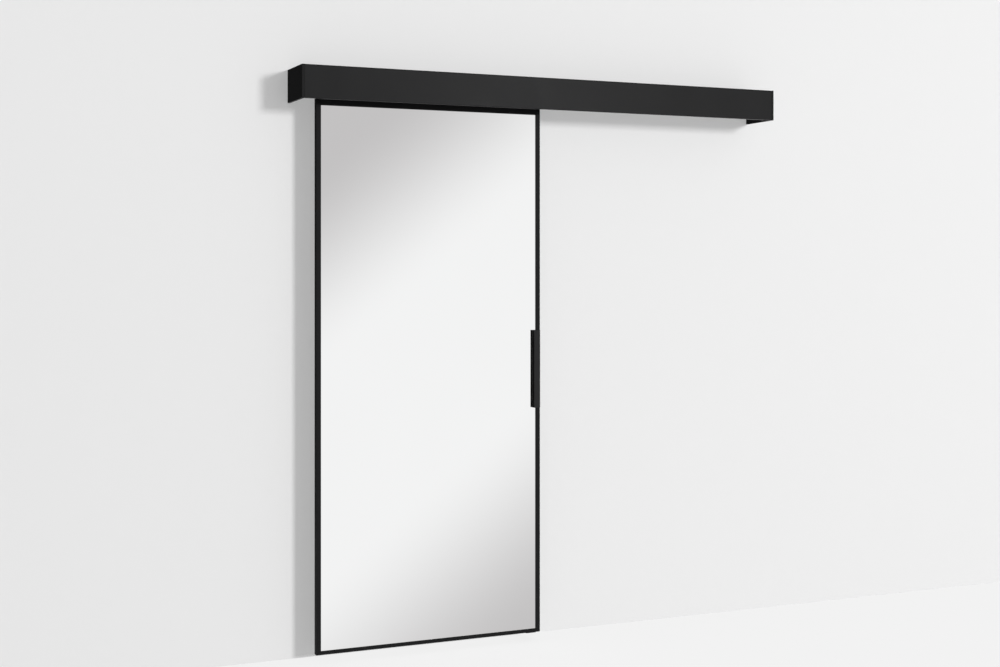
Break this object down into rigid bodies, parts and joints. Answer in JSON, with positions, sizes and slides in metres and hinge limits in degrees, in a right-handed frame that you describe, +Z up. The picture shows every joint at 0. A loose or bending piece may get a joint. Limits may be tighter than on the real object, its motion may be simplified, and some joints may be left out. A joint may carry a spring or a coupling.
{
  "type": "sliding door",
  "caption": "Wall-hung sliding door: slim black frame round a full-height mirror, edge pull, roller carriages on a track hidden by a black box pelmet.",
  "frame": {"origin": "on the mounting plane, at the centre bracket's back face, level with the top of the track and at the middle of the pelmet's length", "axes": "+X along the track, the way the leaf opens; +Y into the wall; +Z up"},
  "size_m": [2, 0.19, 2.1425],
  "materials": {
    "pelmet_black": "fine-textured black powder coat",
    "end_cap_black": "black, matched to the pelmet",
    "frame_black": "black anodised, satin",
    "handle_black": "black anodised, satin",
    "bracket_black": "black electro-coated steel",
    "track_aluminium": "mill finish extrusion",
    "key_aluminium": "sawn extrusion",
    "zinc_steel": "bright zinc plated",
    "black_screw": "black zinc plated",
    "cast_zinc": "as cast",
    "wheel_nylon": "off-white nylon",
    "guide_nylon": "black nylon",
    "buffer_rubber": "matt black",
    "gasket_rubber": "matt black",
    "mirror": "silvered float glass",
    "backing_board": "grey laminated board"
  },
  "bodies": {
    "track_frame": {"pelmet_cover": "pelmet_black", "pelmet_end_cap_left": "end_cap_black", "pelmet_end_cap_right": "end_cap_black", "wall_bracket_left": "bracket_black", "wall_bracket_centre": "bracket_black", "wall_bracket_right": "bracket_black", "track_bolt_left": "zinc_steel", "track_bolt_centre": "zinc_steel", "track_bolt_right": "zinc_steel", "track_rail": "track_aluminium", "end_stop_left": "cast_zinc", "end_stop_right": "cast_zinc", "stop_screw_left": "zinc_steel", "stop_screw_right": "zinc_steel", "stop_buffer_left": "buffer_rubber", "stop_buffer_right": "buffer_rubber", "guide_bracket": "bracket_black", "guide_shoe": "guide_nylon", "guide_screw": "zinc_steel"},
    "leaf": {"stile_left": "frame_black", "stile_right": "frame_black", "top_rail": "frame_black", "bottom_rail": "frame_black", "pull_handle": "handle_black", "corner_key_top_left": "key_aluminium", "corner_key_top_right": "key_aluminium", "corner_key_bottom_left": "key_aluminium", "corner_key_bottom_right": "key_aluminium", "hanger_plate_left": "zinc_steel", "hanger_plate_right": "zinc_steel", "hanger_screw_left_a": "zinc_steel", "hanger_screw_left_b": "zinc_steel", "hanger_screw_right_a": "zinc_steel", "hanger_screw_right_b": "zinc_steel", "hanger_bolt_left": "zinc_steel", "hanger_bolt_right": "zinc_steel", "lock_nut_left": "zinc_steel", "lock_nut_right": "zinc_steel", "axle_left_a": "zinc_steel", "axle_left_b": "zinc_steel", "axle_right_a": "zinc_steel", "axle_right_b": "zinc_steel", "handle_screw_upper": "black_screw", "handle_screw_lower": "black_screw", "carriage_left": "cast_zinc", "carriage_right": "cast_zinc", "glazing_gasket": "gasket_rubber", "mirror_pane": "mirror", "backing_panel": "backing_board"},
    "wheels_left_a": {"wheel_left_a_front": "wheel_nylon", "wheel_left_a_rear": "wheel_nylon"},
    "wheels_left_b": {"wheel_left_b_front": "wheel_nylon", "wheel_left_b_rear": "wheel_nylon"},
    "wheels_right_a": {"wheel_right_a_front": "wheel_nylon", "wheel_right_a_rear": "wheel_nylon"},
    "wheels_right_b": {"wheel_right_b_front": "wheel_nylon", "wheel_right_b_rear": "wheel_nylon"}
  },
  "joints": [
    {"name": "door_slide", "type": "slide", "parent": "track_frame", "child": "leaf", "axis": [1, 0, 0], "range_m": [0, 0.83]},
    {"name": "wheel_spin_left_a", "type": "hinge", "parent": "leaf", "child": "wheels_left_a", "pos_m": [-0.8401, -0.095, -0.023], "axis": [0, 1, 0], "continuous": true},
    {"name": "wheel_spin_left_b", "type": "hinge", "parent": "leaf", "child": "wheels_left_b", "pos_m": [-0.7841, -0.095, -0.023], "axis": [0, 1, 0], "continuous": true},
    {"name": "wheel_spin_right_a", "type": "hinge", "parent": "leaf", "child": "wheels_right_a", "pos_m": [-0.1601, -0.095, -0.023], "axis": [0, 1, 0], "continuous": true},
    {"name": "wheel_spin_right_b", "type": "hinge", "parent": "leaf", "child": "wheels_right_b", "pos_m": [-0.1041, -0.095, -0.023], "axis": [0, 1, 0], "continuous": true}
  ],
  "couplings": [
    {"joint": "wheel_spin_left_a", "follows": "door_slide", "rad_per_m": 83.333},
    {"joint": "wheel_spin_left_b", "follows": "door_slide", "rad_per_m": 83.333},
    {"joint": "wheel_spin_right_a", "follows": "door_slide", "rad_per_m": 83.333},
    {"joint": "wheel_spin_right_b", "follows": "door_slide", "rad_per_m": 83.333}
  ]
}
